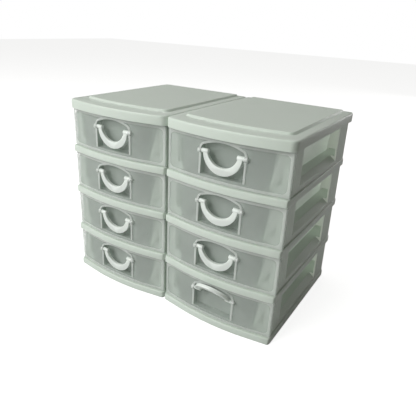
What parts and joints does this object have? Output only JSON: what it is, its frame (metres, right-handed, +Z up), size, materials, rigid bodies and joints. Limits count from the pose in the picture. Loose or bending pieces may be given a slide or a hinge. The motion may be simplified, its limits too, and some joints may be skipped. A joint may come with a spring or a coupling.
{
  "type": "desktop mini drawers",
  "caption": "Bow-fronted plastic desktop mini drawer cabinets with windowed sides, translucent pull-out drawers and swinging bail handles.",
  "frame": {"origin": "centre of the bounding box at floor level, with the lifted handle counted", "axes": "+X right, +Y towards the back, +Z up; the drawers open towards -Y"},
  "size_m": [0.3606, 0.2514, 0.287],
  "materials": {
    "cabinet_plastic": "moulded polypropylene, satin",
    "drawer_plastic": "translucent frosted polypropylene",
    "handle_plastic": "moulded, glossy"
  },
  "bodies": {
    "right_cabinet": {"right_top_cover": "cabinet_plastic", "right_shelf_1": "cabinet_plastic", "right_shelf_2": "cabinet_plastic", "right_shelf_3": "cabinet_plastic", "right_base": "cabinet_plastic", "right_tier_frame_1": "cabinet_plastic", "right_tier_frame_2": "cabinet_plastic", "right_tier_frame_3": "cabinet_plastic", "right_tier_frame_4": "cabinet_plastic"},
    "right_drawer_1": {"right_drawer_1": "drawer_plastic"},
    "right_handle_1": {"right_handle_1": "handle_plastic"},
    "right_drawer_2": {"right_drawer_2": "drawer_plastic"},
    "right_handle_2": {"right_handle_2": "handle_plastic"},
    "right_drawer_3": {"right_drawer_3": "drawer_plastic"},
    "right_handle_3": {"right_handle_3": "handle_plastic"},
    "right_drawer_4": {"right_drawer_4": "drawer_plastic"},
    "right_handle_4": {"right_handle_4": "handle_plastic"},
    "left_cabinet": {"left_top_cover": "cabinet_plastic", "left_shelf_1": "cabinet_plastic", "left_shelf_2": "cabinet_plastic", "left_shelf_3": "cabinet_plastic", "left_base": "cabinet_plastic", "left_tier_frame_1": "cabinet_plastic", "left_tier_frame_2": "cabinet_plastic", "left_tier_frame_3": "cabinet_plastic", "left_tier_frame_4": "cabinet_plastic"},
    "left_drawer_1": {"left_drawer_1": "drawer_plastic"},
    "left_handle_1": {"left_handle_1": "handle_plastic"},
    "left_drawer_2": {"left_drawer_2": "drawer_plastic"},
    "left_handle_2": {"left_handle_2": "handle_plastic"},
    "left_drawer_3": {"left_drawer_3": "drawer_plastic"},
    "left_handle_3": {"left_handle_3": "handle_plastic"},
    "left_drawer_4": {"left_drawer_4": "drawer_plastic"},
    "left_handle_4": {"left_handle_4": "handle_plastic"}
  },
  "joints": [
    {"name": "left_cabinet_slide", "type": "slide", "parent": "right_cabinet", "child": "left_cabinet", "axis": [-1, 0, 0], "range_m": [0, 0.2]},
    {"name": "right_drawer_1_slide", "type": "slide", "parent": "right_cabinet", "child": "right_drawer_1", "axis": [0, -1, 0], "range_m": [0, 0.17]},
    {"name": "right_handle_1_pivot", "type": "hinge", "parent": "right_drawer_1", "child": "right_handle_1", "pos_m": [0.0903, -0.10643, 0.2524], "axis": [-1, 0, 0], "range_deg": [0, 150]},
    {"name": "right_drawer_2_slide", "type": "slide", "parent": "right_cabinet", "child": "right_drawer_2", "axis": [0, -1, 0], "range_m": [0, 0.17]},
    {"name": "right_handle_2_pivot", "type": "hinge", "parent": "right_drawer_2", "child": "right_handle_2", "pos_m": [0.0903, -0.10643, 0.1846], "axis": [-1, 0, 0], "range_deg": [0, 150]},
    {"name": "right_drawer_3_slide", "type": "slide", "parent": "right_cabinet", "child": "right_drawer_3", "axis": [0, -1, 0], "range_m": [0, 0.17]},
    {"name": "right_handle_3_pivot", "type": "hinge", "parent": "right_drawer_3", "child": "right_handle_3", "pos_m": [0.0903, -0.10643, 0.1168], "axis": [-1, 0, 0], "range_deg": [0, 150]},
    {"name": "right_drawer_4_slide", "type": "slide", "parent": "right_cabinet", "child": "right_drawer_4", "axis": [0, -1, 0], "range_m": [0, 0.17]},
    {"name": "right_handle_4_pivot", "type": "hinge", "parent": "right_drawer_4", "child": "right_handle_4", "pos_m": [0.0903, -0.10643, 0.049], "axis": [-1, 0, 0], "range_deg": [-140, 10]},
    {"name": "left_drawer_1_slide", "type": "slide", "parent": "left_cabinet", "child": "left_drawer_1", "axis": [0, -1, 0], "range_m": [0, 0.17]},
    {"name": "left_handle_1_pivot", "type": "hinge", "parent": "left_drawer_1", "child": "left_handle_1", "pos_m": [-0.0903, -0.10643, 0.2524], "axis": [-1, 0, 0], "range_deg": [0, 150]},
    {"name": "left_drawer_2_slide", "type": "slide", "parent": "left_cabinet", "child": "left_drawer_2", "axis": [0, -1, 0], "range_m": [0, 0.17]},
    {"name": "left_handle_2_pivot", "type": "hinge", "parent": "left_drawer_2", "child": "left_handle_2", "pos_m": [-0.0903, -0.10643, 0.1846], "axis": [-1, 0, 0], "range_deg": [0, 150]},
    {"name": "left_drawer_3_slide", "type": "slide", "parent": "left_cabinet", "child": "left_drawer_3", "axis": [0, -1, 0], "range_m": [0, 0.17]},
    {"name": "left_handle_3_pivot", "type": "hinge", "parent": "left_drawer_3", "child": "left_handle_3", "pos_m": [-0.0903, -0.10643, 0.1168], "axis": [-1, 0, 0], "range_deg": [0, 150]},
    {"name": "left_drawer_4_slide", "type": "slide", "parent": "left_cabinet", "child": "left_drawer_4", "axis": [0, -1, 0], "range_m": [0, 0.17]},
    {"name": "left_handle_4_pivot", "type": "hinge", "parent": "left_drawer_4", "child": "left_handle_4", "pos_m": [-0.0903, -0.10643, 0.049], "axis": [-1, 0, 0], "range_deg": [0, 150]}
  ]
}
